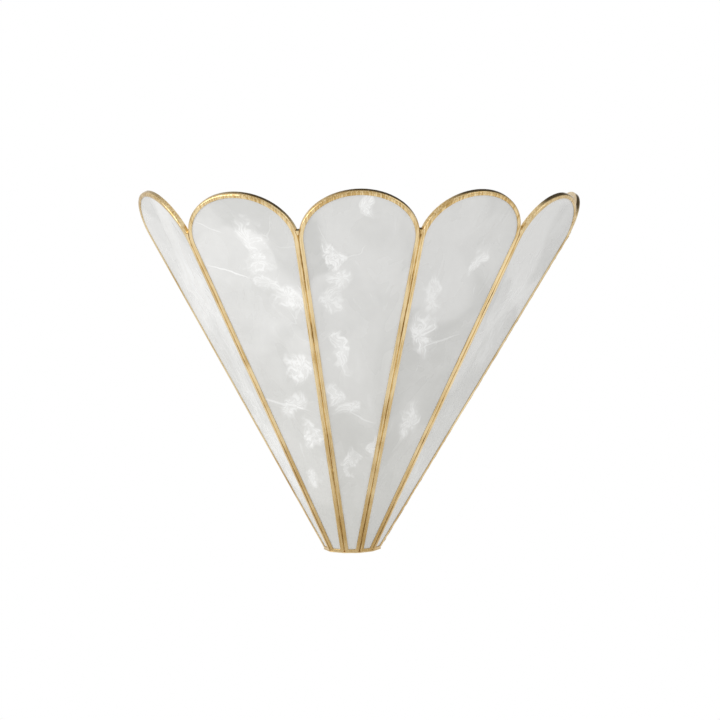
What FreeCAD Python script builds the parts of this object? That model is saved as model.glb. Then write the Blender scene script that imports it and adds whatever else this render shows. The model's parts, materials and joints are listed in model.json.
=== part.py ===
import FreeCAD, Part
import math
import os

# A half-round wall light: six stone petals in brass frames flare up from a small base.
# Origin: on the wall, midway between the two fixing slots of the wall plate.
# +X is right as seen from the room, -Y points into the room, +Z is up. All lengths are in mm.

V = FreeCAD.Vector

# ---- Petals: the edge lines of all petals start from one apex below the base ----
PETAL_COUNT = 6
WALL_RIB_LEAN = 29.0        # degrees from plumb, the two edges on the wall
SHOULDER_RIB_LEAN = 30.7
QUARTER_RIB_LEAN = 29.8
FRONT_RIB_LEAN = 29.5       # the edge at the middle of the front
RIB_SLANT = 394.0           # apex to the level of the valleys between the lobes
BASE_ABOVE_APEX = 47.5
BASE_DROP = 175.0           # base below the fixing slots
LOBE_RISE = 33.8            # top of a lobe above the line through its two valleys
LOBE_SEMI_HEIGHT = 42.0

# ---- Brass channel frame round each petal ----
FRAME_FACE = 3.7
FRAME_DEPTH = 4.4
FRAME_LIP = 0.7             # front and back lips of the channel
CHANNEL_WALL = 2.1          # outer edge of the frame to the floor of the channel
MITRE_GAP = 0.02            # solder line between two neighbouring frames
EDGE_INSET = 0.15           # rib line to the outer edge of a frame
OUTER_ROUND = 1.7
INNER_ROUND = 0.45
BASE_LEG = 2.4
BASE_CHANNEL_WALL = 1.2
WALL_GAP = 0.2              # frames to the wall
STONE_PLAY = 0.1            # stone to its channel, each side

# ---- Solder runs, valley fillers, base plate ----
SOLDER_REACH = 2.4
FILLER_HEIGHT = 9.0
FILLER_RISE = 11.0          # top of a filler above the point where the lobes leave the rib
FILLER_SIDE = 6.0
FILLER_RECESS = 0.5
BASE_PLATE_THICKNESS = 1.2
VENT_RADIUS = 3.0

# ---- Bars across the open back ----
HANGER_BAR_BOTTOM = 38.0
HANGER_BAR_HEIGHT = 14.0
HANGER_BAR_THICKNESS = 2.4
STAY_BAR_BOTTOM = -118.0
STAY_BAR_HEIGHT = 12.0
STAY_BAR_THICKNESS = 2.4
PAD_THICKNESS = 1.4
PAD_RADIUS = 5.0
PAD_SPACING = 60.0

# ---- Wall plate and its hooks ----
PLATE_WIDTH = 124.0
PLATE_HEIGHT = 124.0
PLATE_THICKNESS = 2.0
PLATE_CORNER = 8.0
FIXING_SPACING = 88.9
FIXING_SLOT_RADIUS = 2.3
FIXING_SLOT_LENGTH = 10.0
CABLE_HOLE_RADIUS = 10.0
GROMMET_BORE_RADIUS = 5.0
GROMMET_LIP_RADIUS = 13.0
GROMMET_LIP = 1.5
HOOK_SPACING = 96.0
HOOK_WIDTH = 14.0
HOOK_THICKNESS = 2.0
HOOK_LEG = 15.0
HOOK_LIP = 8.0
BODY_CLEARANCE = 0.3

# ---- Lamp bracket ----
BRACKET_THICKNESS = 2.0
BRACKET_TAB_WIDTH = 36.0
BRACKET_TAB_HEIGHT = 25.0
SHELF_TOP = -32.0
ARM_WIDTH = 26.0
SHELF_DEPTH = 28.0
SHELF_END = 14.0            # shelf beyond each lamp axis
SHELF_CORNER = 9.0
LAMP_SPACING = 90.0
LAMP_FORWARD = 62.0         # wall to the lamp axes
BRACKET_SCREW_SPACING = 20.0

# ---- Screws ----
SCREW_RADIUS = 2.0
SCREW_HEAD_RADIUS = 3.6
SCREW_HEAD_HEIGHT = 2.4
SCREW_SLOT_WIDTH = 1.0
SCREW_SLOT_DEPTH = 1.1

# ---- Lamp holders ----
HOLDER_RADIUS = 12.5
HOLDER_HEIGHT = 42.0
HOLDER_FLOOR = 6.0
HOLDER_WALL = 4.4
SOCKET_WALL = 0.5
SOCKET_TOP_MARGIN = 2.0
NIPPLE_RADIUS = 5.0
NIPPLE_BORE = 3.0
NIPPLE_BELOW = 9.0
NIPPLE_CLEARANCE = 0.2
NUT_ACROSS_FLATS = 14.0
NUT_THICKNESS = 3.0
CONTACT_WIDTH = 4.0
CONTACT_THICKNESS = 0.6
CONTACT_EDGE_GAP = 0.6
SOCKET_RISE = 6.0           # holder's floor to the foot of the sleeve

# ---- Bulbs ----
CAP_RADIUS = 6.9
CAP_LENGTH = 21.0
CAP_RING_PITCH = 2.8
CAP_RING_DEPTH = 0.5
CAP_RING_COUNT = 5
CAP_WALL = 0.5
TIP_HEIGHT = 4.0
TIP_IN_CAP = 2.0
TIP_RADIUS = 5.2
TIP_CONTACT_RADIUS = 2.6
TIP_CONTACT_HEIGHT = 1.0
GLASS_LENGTH = 76.0
GLASS_RADIUS = 17.5
GLASS_BELLY = 27.0          # widest point above the cap
GLASS_WALL = 0.8
GLASS_IN_CAP = 3.0
STEM_HEIGHT = 18.0
STEM_RADIUS = 3.0
STEM_FLANGE = 3.0
STEM_FLARE = 4.0
STEM_PINCH = 4.0
FILAMENT_HEIGHT = 36.0
FILAMENT_RADIUS = 0.9
FILAMENT_RING = 5.0
FILAMENT_COUNT = 4

# ---- Terminal block, earth point and leads ----
BLOCK_WIDTH = 40.0
BLOCK_HEIGHT = 20.0
BLOCK_DEPTH = 15.0
BLOCK_GAP = 0.5             # grommet lip to the block above it
POLE_SPACING = 12.0
POLE_HOLE_RADIUS = 2.5      # entries of the lamp leads
SUPPLY_HOLE_RADIUS = 2.0    # entries of the supply conductors
POLE_HOLE_DEPTH = 7.0
EARTH_HOLE_DEPTH = 6.0      # entry of the supply earth, over its own wire
TERMINAL_SCREW_RADIUS = 2.2
TERMINAL_SCREW_DEPTH = 5.0
TERMINAL_SCREW_SUNK = 0.8
EARTH_SIDE = 7.8
EARTH_HEIGHT = -27.0
EARTH_TAG_THICKNESS = 0.8
EARTH_TAG_RADIUS = 4.2
EARTH_BARREL_LENGTH = 5.0
EARTH_BARREL_RADIUS = 1.7
LEAD_RADIUS = 2.1
EARTH_LEAD_RADIUS = 1.1
WIRE_PLAY = 0.1             # earth wire to the holes that it goes into
LEAD_ARC_SHARE = 0.45
LEAD_EXIT_DROP = 28.0       # shelf to the point where a holder lead turns back
LEAD_SAG = 10.0             # its lowest point below that turn
LEAD_RUN_BACK = 38.0        # lamp axis to the lowest point, towards the wall
LEAD_SWING = 9.0            # lamp axis to the lowest point, towards the middle
LEAD_RISE = 32.0            # turn up to the block, below the block
LEAD_END_GAP = 1.0          # lead to the bottom of its entry
EARTH_LEAD_EXIT = 6.0       # block to the point where the earth wire turns aside
EARTH_LEAD_LEAN = 2.5       # its middle point behind the poles
EARTH_LEAD_DROP = 5.0       # its lowest turn above the tag's barrel

FAR = 900.0                 # reach of the cutting solids

BASE_Z = -BASE_DROP
APEX = V(0, 0, BASE_Z - BASE_ABOVE_APEX)
RIB_LEANS = (WALL_RIB_LEAN, SHOULDER_RIB_LEAN, QUARTER_RIB_LEAN, FRONT_RIB_LEAN,
             QUARTER_RIB_LEAN, SHOULDER_RIB_LEAN, WALL_RIB_LEAN)
SIDES = {"left": -1, "right": 1}


# ---------------------------------------------------------------- helpers

def box(x_low, x_high, y_low, y_high, z_low, z_high):
    """A box between two corners."""
    size = (x_high - x_low, y_high - y_low, z_high - z_low)
    return Part.makeBox(*size, V(x_low, y_low, z_low))


def rod(radius, start, end):
    """A solid cylinder between two points."""
    return Part.makeCylinder(radius, (end - start).Length, start, end - start)


def place(shape, origin, x_axis, y_axis, z_axis):
    """Carry a shape drawn at the origin to a turned frame elsewhere."""
    matrix = FreeCAD.Matrix(
        x_axis.x, y_axis.x, z_axis.x, origin.x,
        x_axis.y, y_axis.y, z_axis.y, origin.y,
        x_axis.z, y_axis.z, z_axis.z, origin.z,
        0, 0, 0, 1)
    return shape.transformed(matrix, True)


def unit(vector):
    """The same direction with length one."""
    return vector * (1.0 / vector.Length)


def prism(points, sweep):
    """A prism: a flat outline through the points, swept along a vector."""
    return Part.Face(Part.makePolygon(points + points[:1])).extrude(sweep)


def turned(profile, axis_point):
    """A solid of revolution from (radius, height) points, about a vertical axis."""
    points = [axis_point + V(radius, 0, height) for radius, height in profile]
    face = Part.Face(Part.makePolygon(points + points[:1]))
    return face.revolve(axis_point, V(0, 0, 1), 360)


def tube_through(points, radius, name):
    """A round tube along straight runs joined by tangent arcs."""
    edges = []
    radii = []
    last = points[0]
    for before, corner, after in zip(points, points[1:], points[2:]):
        back = unit(before - corner)
        ahead = unit(after - corner)
        half_turn = (math.pi - back.getAngle(ahead)) / 2
        reach = LEAD_ARC_SHARE * min((before - corner).Length, (after - corner).Length)
        arc_radius = reach / math.tan(half_turn)
        middle = unit(back + ahead) * (arc_radius / math.cos(half_turn) - arc_radius)
        start = corner + back * reach
        end = corner + ahead * reach
        edges.append(Part.LineSegment(last, start).toShape())
        edges.append(Part.Arc(start, corner + middle, end).toShape())
        radii.append(round(arc_radius, 1))
        last = end
    edges.append(Part.LineSegment(last, points[-1]).toShape())
    path = Part.Wire(edges)
    section = Part.Wire(Part.Circle(points[0], points[1] - points[0], radius).toShape())
    tube = path.makePipeShell([section], True, False)
    share = tube.Volume / (math.pi * radius ** 2 * path.Length)
    print(name, "arc radii", radii, "volume over section times length", round(share, 4))
    return tube


def slotted_screw(tip, head_base, radius=SCREW_RADIUS, head_radius=SCREW_HEAD_RADIUS):
    """A cheese-head screw along Y whose head faces the room, with a driver slot."""
    shank = rod(radius, tip, head_base)
    head_top = head_base + V(0, -SCREW_HEAD_HEIGHT, 0)
    head = rod(head_radius, head_base, head_top)
    slot = box(head_top.x - head_radius, head_top.x + head_radius,
               head_top.y, head_top.y + SCREW_SLOT_DEPTH,
               head_top.z - SCREW_SLOT_WIDTH / 2, head_top.z + SCREW_SLOT_WIDTH / 2)
    return shank.fuse(head).cut(slot).removeSplitter()


def save(name, solids):
    """Write one node, as one solid or as a group of separate solids."""
    shape = solids[0] if len(solids) == 1 else Part.makeCompound(solids)
    assert shape.isValid(), name
    shape.exportStep(os.path.join("parts", name + ".step"))


# ---------------------------------------------------------------- petals

def rib_direction(index):
    """Unit vector from the apex along a rib; rib 0 is on the wall at the left."""
    lean = math.radians(RIB_LEANS[index])
    azimuth = math.radians(-90 + index * 180.0 / PETAL_COUNT)
    return V(math.sin(lean) * math.sin(azimuth), -math.sin(lean) * math.cos(azimuth), math.cos(lean))


def petal_axes(index):
    """Across, up and outward directions of a petal, and half its apex angle."""
    left = rib_direction(index)
    right = rib_direction(index + 1)
    across = unit(right - left)
    up = unit(right + left)
    return across, up, across.cross(up), left.getAngle(right) / 2


def petal_outline(half_angle, inset):
    """Flat petal: two straight sides from the apex and a half ellipse tangent to both."""
    semi_height = LOBE_SEMI_HEIGHT - inset
    centre = RIB_SLANT * math.cos(half_angle) + LOBE_RISE - LOBE_SEMI_HEIGHT
    sine = math.sin(half_angle)
    cosine = math.cos(half_angle)
    edge_inset = EDGE_INSET + inset
    reach = centre * sine - edge_inset
    semi_width = math.sqrt(reach ** 2 - (semi_height * sine) ** 2) / cosine
    corner = V(semi_width ** 2 * cosine / reach, centre - semi_height ** 2 * sine / reach, 0)
    foot = V(0, edge_inset / sine, 0)
    ellipse = Part.Ellipse(V(0, centre, 0), semi_width, semi_height)
    angle = math.atan2((corner.y - centre) / semi_height, corner.x / semi_width)
    arch = Part.ArcOfEllipse(ellipse, angle, math.pi - angle).toShape()
    right = Part.LineSegment(foot, corner).toShape()
    left = Part.LineSegment(V(-corner.x, corner.y, 0), foot).toShape()
    return Part.Wire([right, arch, left])


def parting_slant(rib):
    """Distance from the apex, along a rib, at which the two lobes beside it leave its line."""
    slants = []
    for petal in (rib - 1, rib):
        outline = petal_outline(petal_axes(petal)[3], 0)
        slants.append(max(vertex.Point.Length for vertex in outline.Vertexes))
    return sum(slants) / 2


def petal_slab(index, inset, front, back):
    """The petal outline between two depths behind the outer face of its frame."""
    across, up, outward, half_angle = petal_axes(index)
    slab = Part.Face(petal_outline(half_angle, inset)).extrude(V(0, 0, front - back))
    slab.translate(V(0, 0, -front))
    return place(slab, APEX, across, up, outward)


def above(height):
    """Everything over a level."""
    return box(-FAR, FAR, -FAR, FAR, height, FAR)


def mitre_cutter(rib, keep_left):
    """What lies beyond the mitre plane at a rib, or behind the wall at the first and last."""
    if rib in (0, PETAL_COUNT):
        return box(-FAR, FAR, -WALL_GAP, FAR, -FAR, FAR)
    along = rib_direction(rib)
    outward = unit(petal_axes(rib - 1)[2] + petal_axes(rib)[2])
    towards_right = outward.cross(along) * -1
    away = towards_right if keep_left else towards_right * -1
    start = -MITRE_GAP / 2
    cutter = box(-FAR, FAR, -FAR, FAR, start, FAR)
    return place(cutter, APEX, along, away.cross(along), away)


def front_edges(index, ring, of_window):
    """Edges in the outer face of a frame: those round its window, or those round its outside."""
    across, up, outward, half_angle = petal_axes(index)
    middle_line = Part.Face(petal_outline(half_angle, FRAME_FACE / 2))
    chosen = []
    for edge in ring.Edges:
        middle = edge.valueAt((edge.FirstParameter + edge.LastParameter) / 2)
        points = [vertex.Point for vertex in edge.Vertexes] + [middle]
        in_face = all(abs((point - APEX).dot(outward)) < 1e-4 for point in points)
        at_foot = max(point.z for point in points) < BASE_Z + 1e-3
        local = V((middle - APEX).dot(across), (middle - APEX).dot(up), 0)
        if in_face and not at_foot and middle_line.isInside(local, 1e-6, True) == of_window:
            chosen.append(edge)
    return chosen


def panel_frame(index):
    """Brass channel bent round a petal: rounded face, window, channel for the stone."""
    blank = petal_slab(index, 0, 0, FRAME_DEPTH).common(above(BASE_Z))
    window = petal_slab(index, FRAME_FACE, -1, FRAME_DEPTH + 1).common(above(BASE_Z + BASE_LEG))
    ring = blank.cut(window)
    ring = ring.makeFillet(OUTER_ROUND, front_edges(index, ring, False))
    ring = ring.makeFillet(INNER_ROUND, front_edges(index, ring, True))
    channel = petal_slab(index, CHANNEL_WALL, FRAME_LIP, FRAME_DEPTH - FRAME_LIP)
    ring = ring.cut(channel.common(above(BASE_Z + BASE_CHANNEL_WALL)))
    ring = ring.cut(mitre_cutter(index, False)).cut(mitre_cutter(index + 1, True))
    return ring.Solids[0]


def stone_panel(index):
    """Flat stone petal, held by its edge in the channel of the frame."""
    front = FRAME_LIP + STONE_PLAY
    back = FRAME_DEPTH - FRAME_LIP - STONE_PLAY
    slab = petal_slab(index, CHANNEL_WALL + STONE_PLAY, front, back)
    return slab.common(above(BASE_Z + BASE_CHANNEL_WALL + STONE_PLAY)).Solids[0]


def rib_section(rib):
    """Functions that place a point beside a rib, from its distance in a petal and its depth."""
    along = rib_direction(rib)
    left_out = petal_axes(rib - 1)[2]
    right_out = petal_axes(rib)[2]
    into_left = left_out.cross(along)
    into_right = along.cross(right_out)

    def in_left(across, depth):
        return APEX + into_left * across - left_out * depth

    def in_right(across, depth):
        return APEX + into_right * across - right_out * depth

    def on_rib(depth):
        middle = unit(left_out + right_out)
        return APEX - middle * (depth / middle.dot(left_out))

    return along, in_left, in_right, on_rib


def base_slant(rib):
    """Distance from the apex to the base, along a rib."""
    return BASE_ABOVE_APEX / rib_direction(rib).z


def solder_run(rib):
    """Solder along the inside corner between two neighbouring frames."""
    along, in_left, in_right, on_rib = rib_section(rib)
    corner = on_rib(FRAME_DEPTH)
    left_edge = in_left(0, FRAME_DEPTH)
    reach = (corner - left_edge).Length + SOLDER_REACH
    points = [in_left(reach, FRAME_DEPTH), corner, in_right(reach, FRAME_DEPTH)]
    start = along * (base_slant(rib) + BASE_LEG)
    end = along * (parting_slant(rib) + FILLER_RISE - FILLER_HEIGHT)
    return prism([point + start for point in points], end - start)


def valley_filler(rib):
    """Small flat-topped brass web where two lobes part."""
    along, in_left, in_right, on_rib = rib_section(rib)
    back = FRAME_DEPTH - FILLER_RECESS
    points = [in_left(FILLER_SIDE, FILLER_RECESS), on_rib(FILLER_RECESS),
              in_right(FILLER_SIDE, FILLER_RECESS), in_right(FILLER_SIDE, back),
              on_rib(back), in_left(FILLER_SIDE, back)]
    start = along * (parting_slant(rib) + FILLER_RISE - FILLER_HEIGHT)
    web = prism([point + start for point in points], along * FILLER_HEIGHT)
    for petal in (rib - 1, rib):
        web = web.cut(petal_slab(petal, 0, -1, FRAME_DEPTH + 1))
    return max(web.Solids, key=lambda solid: solid.Volume)


def base_plate():
    """Brass plate that closes the small end, with a vent."""
    corners = [APEX + rib_direction(rib) * base_slant(rib) for rib in range(PETAL_COUNT + 1)]
    plate = prism(corners, V(0, 0, -BASE_PLATE_THICKNESS))
    plate = plate.cut(box(-FAR, FAR, -WALL_GAP, FAR, -FAR, FAR))
    vent_y = corners[PETAL_COUNT // 2].y / 2
    top = V(0, vent_y, BASE_Z + 1)
    return plate.cut(rod(VENT_RADIUS, top, top - V(0, 0, BASE_PLATE_THICKNESS + 2)))


def back_bar(bottom, height, back_y, thickness):
    """Flat bar soldered between the two frames on the wall side."""
    bar = box(-FAR, FAR, back_y - thickness, back_y, bottom, bottom + height)
    for petal in (0, PETAL_COUNT - 1):
        across, up, outward, half_angle = petal_axes(petal)
        beyond = box(-FAR, FAR, -FAR, FAR, -FRAME_DEPTH, FAR)
        bar = bar.cut(place(beyond, APEX, across, up, outward))
    return bar.Solids[0]


def wall_pads():
    """Felt discs on the lower bar that keep the light off the wall finish."""
    height = STAY_BAR_BOTTOM + STAY_BAR_HEIGHT / 2
    pads = []
    for side in SIDES.values():
        centre = V(side * PAD_SPACING / 2, 0, height)
        pads.append(rod(PAD_RADIUS, centre, centre + V(0, -PAD_THICKNESS, 0)))
    return pads


# ---------------------------------------------------------------- wall plate

PLATE_FRONT = -PLATE_THICKNESS
TAB_FRONT = PLATE_FRONT - BRACKET_THICKNESS
TAB_BOTTOM = SHELF_TOP - BRACKET_TAB_HEIGHT
BRACKET_SCREW_HEIGHT = SHELF_TOP - BRACKET_THICKNESS - (BRACKET_TAB_HEIGHT - BRACKET_THICKNESS) / 2
EARTH_POINT = V(-EARTH_SIDE, PLATE_FRONT, EARTH_HEIGHT)
HANGER_BAR_BACK = PLATE_FRONT - BODY_CLEARANCE
HOOK_FLOOR_TOP = HANGER_BAR_BOTTOM - BODY_CLEARANCE
HOOK_LEG_BOTTOM = HOOK_FLOOR_TOP - HOOK_THICKNESS - HOOK_LEG
HOOK_SCREW_HEIGHT = HOOK_LEG_BOTTOM + HOOK_LEG / 2


def rounded_plate(width, height, thickness, corner):
    """A plate on the wall with rounded corners."""
    plate = box(-width / 2, width / 2, -thickness, 0, -height / 2, height / 2)
    corners = [edge for edge in plate.Edges if abs(edge.tangentAt(edge.FirstParameter).y) > 0.5]
    return plate.makeFillet(corner, corners)


def fixing_slot(centre_x):
    """Cutter for one slotted fixing hole, long side level."""
    half = FIXING_SLOT_LENGTH / 2 - FIXING_SLOT_RADIUS
    slot = box(centre_x - half, centre_x + half, PLATE_FRONT - 1, 1,
               -FIXING_SLOT_RADIUS, FIXING_SLOT_RADIUS)
    for side in SIDES.values():
        end = V(centre_x + side * half, 1, 0)
        slot = slot.fuse(rod(FIXING_SLOT_RADIUS, end, end + V(0, PLATE_FRONT - 2, 0)))
    return slot


def screw_points():
    """Places of the screws that go into the wall plate, on its front."""
    bracket = [V(side * BRACKET_SCREW_SPACING / 2, PLATE_FRONT, BRACKET_SCREW_HEIGHT)
               for side in SIDES.values()]
    hooks = [V(side * HOOK_SPACING / 2, PLATE_FRONT, HOOK_SCREW_HEIGHT) for side in SIDES.values()]
    return bracket, hooks


def wall_plate():
    """Steel plate on the wall: slots, cable hole, and holes for everything screwed to it."""
    plate = rounded_plate(PLATE_WIDTH, PLATE_HEIGHT, PLATE_THICKNESS, PLATE_CORNER)
    for side in SIDES.values():
        plate = plate.cut(fixing_slot(side * FIXING_SPACING / 2))
    plate = plate.cut(rod(CABLE_HOLE_RADIUS, V(0, 1, 0), V(0, PLATE_FRONT - 1, 0)))
    bracket, hooks = screw_points()
    for point in bracket + hooks + [EARTH_POINT]:
        plate = plate.cut(rod(SCREW_RADIUS, V(point.x, 1, point.z), point - V(0, 1, 0)))
    return plate


def cable_grommet():
    """Rubber bush in the cable hole, with a lip on the room side."""
    lip_front = V(0, PLATE_FRONT - GROMMET_LIP, 0)
    bush = rod(CABLE_HOLE_RADIUS, V(0, 0, 0), lip_front)
    bush = bush.fuse(rod(GROMMET_LIP_RADIUS, V(0, PLATE_FRONT, 0), lip_front))
    bore = rod(GROMMET_BORE_RADIUS, V(0, 1, 0), lip_front - V(0, 1, 0))
    return bush.cut(bore).removeSplitter()


def hanger_hook(side):
    """Hook that carries the upper bar of the shade: leg, floor and lip in one bent strip."""
    centre = side * HOOK_SPACING / 2
    left = centre - HOOK_WIDTH / 2
    right = centre + HOOK_WIDTH / 2
    floor_bottom = HOOK_FLOOR_TOP - HOOK_THICKNESS
    gap_front = HANGER_BAR_BACK - HANGER_BAR_THICKNESS - BODY_CLEARANCE
    lip_front = gap_front - HOOK_THICKNESS
    leg = box(left, right, PLATE_FRONT - HOOK_THICKNESS, PLATE_FRONT, HOOK_LEG_BOTTOM, HOOK_FLOOR_TOP)
    floor = box(left, right, lip_front, PLATE_FRONT, floor_bottom, HOOK_FLOOR_TOP)
    lip = box(left, right, lip_front, gap_front, floor_bottom, HOOK_FLOOR_TOP + HOOK_LIP)
    hook = leg.fuse(floor).fuse(lip).removeSplitter()
    point = V(centre, PLATE_FRONT + 1, HOOK_SCREW_HEIGHT)
    return hook.cut(rod(SCREW_RADIUS, point, point - V(0, HOOK_THICKNESS + 2, 0)))


def lamp_bracket():
    """Bent steel bracket: a tab on the wall plate, an arm, and a shelf for two lamp holders."""
    shelf_bottom = SHELF_TOP - BRACKET_THICKNESS
    shelf_half = LAMP_SPACING / 2 + SHELF_END
    tab = box(-BRACKET_TAB_WIDTH / 2, BRACKET_TAB_WIDTH / 2, TAB_FRONT, PLATE_FRONT,
              TAB_BOTTOM, SHELF_TOP)
    arm = box(-ARM_WIDTH / 2, ARM_WIDTH / 2, -LAMP_FORWARD, PLATE_FRONT, shelf_bottom, SHELF_TOP)
    shelf = box(-shelf_half, shelf_half, -LAMP_FORWARD - SHELF_DEPTH / 2,
                -LAMP_FORWARD + SHELF_DEPTH / 2, shelf_bottom, SHELF_TOP)
    ends = [edge for edge in shelf.Edges if abs(edge.tangentAt(edge.FirstParameter).z) > 0.5]
    shelf = shelf.makeFillet(SHELF_CORNER, ends)
    bracket = tab.fuse(arm).fuse(shelf).removeSplitter()
    for side in SIDES.values():
        top = V(side * LAMP_SPACING / 2, -LAMP_FORWARD, SHELF_TOP + 1)
        hole = rod(NIPPLE_RADIUS + NIPPLE_CLEARANCE, top, top - V(0, 0, BRACKET_THICKNESS + 2))
        bracket = bracket.cut(hole)
    for point in screw_points()[0]:
        bracket = bracket.cut(rod(SCREW_RADIUS, point + V(0, 1, 0), point - V(0, BRACKET_THICKNESS + 1, 0)))
    return bracket


def plate_screws(points, clamped):
    """Screws from the front through a clamped thickness into the wall plate."""
    screws = []
    for point in points:
        tip = V(point.x, -WALL_GAP, point.z)
        screws.append(slotted_screw(tip, point - V(0, clamped, 0)))
    return screws


# ---------------------------------------------------------------- lamp holders and bulbs

SOCKET_BORE = CAP_RADIUS + BODY_CLEARANCE
HOLDER_BORE = SOCKET_BORE + SOCKET_WALL
HOLDER_FLOOR_TOP = SHELF_TOP + HOLDER_FLOOR
HOLDER_TOP = SHELF_TOP + HOLDER_HEIGHT
CAP_TOP = HOLDER_TOP + SOCKET_TOP_MARGIN
CAP_BOTTOM = CAP_TOP - CAP_LENGTH
TIP_BOTTOM = CAP_BOTTOM - TIP_HEIGHT
TIP_TOP = CAP_BOTTOM + TIP_IN_CAP
CAP_CORE = CAP_RADIUS - CAP_RING_DEPTH
CAP_BORE = CAP_CORE - CAP_WALL
NIPPLE_BOTTOM = SHELF_TOP - BRACKET_THICKNESS - NIPPLE_BELOW


def lamp_axis(side):
    """Foot of a lamp's axis, at the level of the fixing slots."""
    return V(side * LAMP_SPACING / 2, -LAMP_FORWARD, 0)


def holder_body(side):
    """Ceramic cup of a lamp holder, screwed on its nipple."""
    rim = HOLDER_RADIUS - HOLDER_WALL
    outer = [(NIPPLE_RADIUS, SHELF_TOP), (HOLDER_RADIUS, SHELF_TOP), (HOLDER_RADIUS, HOLDER_TOP),
             (HOLDER_BORE, HOLDER_TOP), (HOLDER_BORE, HOLDER_FLOOR_TOP),
             (NIPPLE_RADIUS, HOLDER_FLOOR_TOP)]
    body = turned(outer, lamp_axis(side))
    top_rim = [edge for edge in body.Edges
               if abs(edge.CenterOfMass.z - HOLDER_TOP) < 1e-3 and edge.Length > 2 * math.pi * rim]
    return body.makeFillet(HOLDER_WALL / 3, top_rim[:1])


def holder_socket(side):
    """Thin brass sleeve that takes the bulb's cap."""
    bottom = HOLDER_FLOOR_TOP + SOCKET_RISE
    top = HOLDER_TOP - SOCKET_TOP_MARGIN
    profile = [(SOCKET_BORE, bottom), (HOLDER_BORE, bottom), (HOLDER_BORE, top), (SOCKET_BORE, top)]
    return turned(profile, lamp_axis(side))


def holder_contact(side):
    """Sprung centre contact: a foot on the holder's floor, a riser and a tongue under the bulb."""
    axis = lamp_axis(side)
    half = CONTACT_WIDTH / 2
    foot_end = axis.y + HOLDER_BORE - CONTACT_EDGE_GAP
    riser = axis.y + NIPPLE_RADIUS + NIPPLE_CLEARANCE
    top = TIP_BOTTOM - BODY_CLEARANCE
    foot = box(axis.x - half, axis.x + half, riser, foot_end,
               HOLDER_FLOOR_TOP, HOLDER_FLOOR_TOP + CONTACT_THICKNESS)
    post = box(axis.x - half, axis.x + half, riser, riser + CONTACT_THICKNESS, HOLDER_FLOOR_TOP, top)
    tongue = box(axis.x - half, axis.x + half, axis.y - TIP_CONTACT_RADIUS, riser + CONTACT_THICKNESS,
                 top - CONTACT_THICKNESS, top)
    return foot.fuse(post).fuse(tongue).removeSplitter()


def holder_nipple(side):
    """Threaded tube that holds the lamp holder to the shelf and lets the lead through."""
    profile = [(NIPPLE_BORE, NIPPLE_BOTTOM), (NIPPLE_RADIUS, NIPPLE_BOTTOM),
               (NIPPLE_RADIUS, HOLDER_FLOOR_TOP), (NIPPLE_BORE, HOLDER_FLOOR_TOP)]
    return turned(profile, lamp_axis(side))


def holder_nut(side):
    """Hexagon nut under the shelf."""
    centre = lamp_axis(side) + V(0, 0, SHELF_TOP - BRACKET_THICKNESS)
    corner = NUT_ACROSS_FLATS / math.sqrt(3)
    points = []
    for step in range(6):
        angle = math.radians(60 * step)
        points.append(centre + V(corner * math.cos(angle), corner * math.sin(angle), 0))
    nut = prism(points, V(0, 0, -NUT_THICKNESS))
    return nut.cut(rod(NIPPLE_RADIUS, centre + V(0, 0, 1), centre - V(0, 0, NUT_THICKNESS + 1)))


def bulb_cap(side):
    """Screw cap: a thin shell with rounded thread ridges, drawn as closed rings."""
    profile = [(CAP_BORE, CAP_BOTTOM), (CAP_CORE, CAP_BOTTOM)]
    for ring in range(CAP_RING_COUNT):
        foot = CAP_BOTTOM + CAP_RING_PITCH * (ring + 0.5)
        profile += [(CAP_CORE, foot), (CAP_RADIUS, foot + CAP_RING_PITCH * 0.3),
                    (CAP_RADIUS, foot + CAP_RING_PITCH * 0.45),
                    (CAP_CORE, foot + CAP_RING_PITCH * 0.75)]
    profile += [(CAP_CORE, CAP_TOP), (CAP_BORE, CAP_TOP)]
    return turned(profile, lamp_axis(side))


def bulb_tip(side):
    """Insulator that closes the cap, with the centre contact in one piece."""
    shoulder = TIP_BOTTOM + TIP_CONTACT_HEIGHT
    profile = [(0, TIP_BOTTOM), (TIP_CONTACT_RADIUS, TIP_BOTTOM), (TIP_CONTACT_RADIUS, shoulder),
               (TIP_RADIUS, CAP_BOTTOM), (CAP_BORE, CAP_BOTTOM), (CAP_BORE, TIP_TOP), (0, TIP_TOP)]
    return turned(profile, lamp_axis(side))


def glass_outline(shrink):
    """Flat candle shape from the cap to the tip, drawn smaller for the inner wall."""
    neck = CAP_BORE - shrink
    foot = CAP_TOP - GLASS_IN_CAP
    tip = CAP_TOP + GLASS_LENGTH - shrink
    belly = GLASS_RADIUS - shrink
    rise = tip - CAP_TOP
    points = [V(neck, 0, CAP_TOP), V(neck + belly * 0.17, 0, CAP_TOP + rise * 0.12),
              V(belly, 0, CAP_TOP + GLASS_BELLY), V(belly * 0.83, 0, CAP_TOP + rise * 0.62),
              V(belly * 0.4, 0, CAP_TOP + rise * 0.85), V(0, 0, tip)]
    curve = Part.BSplineCurve()
    curve.interpolate(points, InitialTangent=V(0, 0, rise), FinalTangent=V(-rise, 0, 0))
    return Part.Wire([Part.LineSegment(V(0, 0, foot), V(neck, 0, foot)).toShape(),
                      Part.LineSegment(V(neck, 0, foot), points[0]).toShape(), curve.toShape(),
                      Part.LineSegment(points[-1], V(0, 0, foot)).toShape()])


def bulb_glass(side):
    """Clear candle bulb, blown thin."""
    solids = []
    for shrink in (0, GLASS_WALL):
        outline = Part.Face(glass_outline(shrink))
        solids.append(outline.revolve(V(0, 0, 0), V(0, 0, 1), 360))
    glass = solids[0].cut(solids[1])
    glass.translate(lamp_axis(side))
    return glass.Solids[0]


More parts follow.
